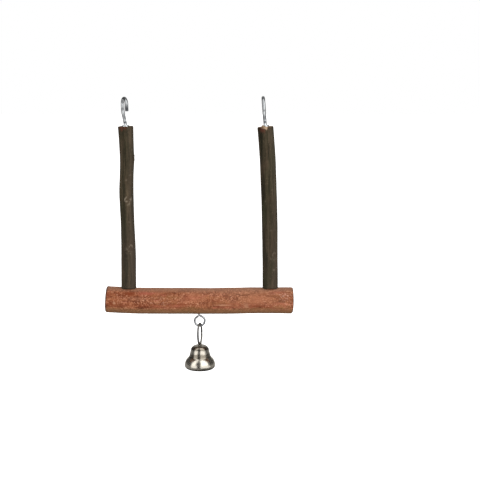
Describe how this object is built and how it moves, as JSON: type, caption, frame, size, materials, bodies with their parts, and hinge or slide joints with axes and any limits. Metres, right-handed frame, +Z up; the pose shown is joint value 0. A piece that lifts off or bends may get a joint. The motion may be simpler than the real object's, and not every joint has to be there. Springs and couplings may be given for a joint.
{
  "type": "bird swing",
  "caption": "Hanging bird swing of natural branches: a round perch between two uprights with screw hooks, and a small bell on a link below it.",
  "frame": {"origin": "on the hanging axis, which runs through the middles of both hook curls, above the middle of the perch", "axes": "+X along the perch to the right as seen from the front, +Z up, -Y towards the front"},
  "size_m": [0.1199, 0.0196, 0.1748],
  "materials": {
    "perch_bark": "thin reddish-brown bark, matt",
    "upright_bark": "dark olive-brown bark, matt",
    "zinc_wire": "bright zinc plate",
    "zinc_screw": "zinc plate",
    "link_wire": "nickel-plated wire",
    "bell_nickel": "polished nickel plate",
    "clapper_steel": "plain turned steel"
  },
  "bodies": {
    "swing": {"perch": "perch_bark", "left_upright": "upright_bark", "right_upright": "upright_bark", "left_hook": "zinc_wire", "right_hook": "zinc_wire", "left_perch_screw": "zinc_screw", "right_perch_screw": "zinc_screw", "screw_eye": "zinc_wire"},
    "link": {"bell_link": "link_wire"},
    "bell": {"bell_shell": "bell_nickel", "bell_hanger": "link_wire"},
    "clapper": {"clapper_stem": "link_wire", "clapper_ball": "clapper_steel"}
  },
  "joints": [
    {"name": "link_swing", "type": "hinge", "parent": "swing", "child": "link", "pos_m": [0, 0, -0.14176], "axis": [1, 0, 0], "range_deg": [-80, 80]},
    {"name": "bell_swing", "type": "hinge", "parent": "link", "child": "bell", "pos_m": [0, 0, -0.1538], "axis": [0.3746, 0.9272, 0], "range_deg": [-80, 80]},
    {"name": "clapper_swing", "type": "hinge", "parent": "bell", "child": "clapper", "pos_m": [0, 0, -0.15783], "axis": [0.9272, -0.3746, 0], "range_deg": [-35, 35]}
  ]
}
